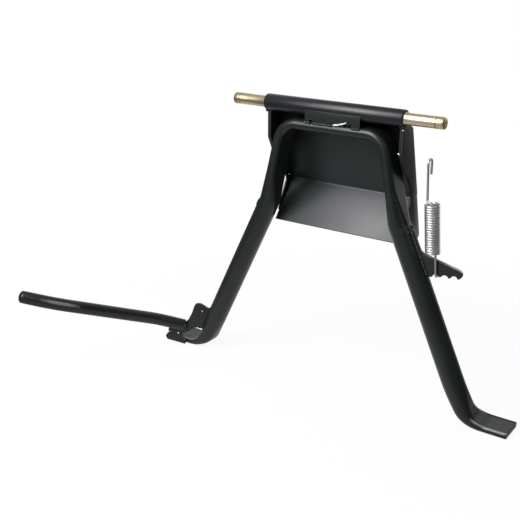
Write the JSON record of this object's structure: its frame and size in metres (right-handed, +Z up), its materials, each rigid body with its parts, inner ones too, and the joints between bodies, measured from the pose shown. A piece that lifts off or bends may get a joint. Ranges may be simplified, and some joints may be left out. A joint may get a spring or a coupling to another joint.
{
  "type": "scooter centre stand",
  "caption": "Bent-tube centre stand with a pivot tube and pin, folded sheet pan, notched spring lug with return spring, flattened foot pads and a bent foot lever",
  "frame": {"origin": "middle of the pivot tube, on the pivot axis", "axes": "+X along the pivot pin to the side with the return spring, +Y towards the front of the vehicle, +Z up"},
  "size_m": [0.5028, 0.2416, 0.3153],
  "materials": {
    "black_paint": "black paint, satin to half gloss",
    "zinc_yellow": "yellow passivated zinc on steel",
    "zinc_bright": "bright zinc on spring steel"
  },
  "bodies": {
    "pin": {"pivot_pin": "zinc_yellow"},
    "stand": {"pivot_tube": "black_paint", "leg_frame": "black_paint", "pan": "black_paint", "ear_left": "black_paint", "ear_right": "black_paint", "crown_web": "black_paint", "spring_lug": "black_paint", "foot_bracket": "black_paint", "foot_lever": "black_paint"},
    "spring": {"return_spring": "zinc_bright"}
  },
  "joints": [
    {"name": "stand_swing", "type": "hinge", "parent": "pin", "child": "stand", "pos_m": [0, 0, 0], "axis": [-1, 0, 0], "range_deg": [0, 95]},
    {"name": "spring_swing", "type": "hinge", "parent": "stand", "child": "spring", "pos_m": [0.1229, 0.00165, -0.1494], "axis": [1, 0, 0], "range_deg": [0, 40]}
  ]
}
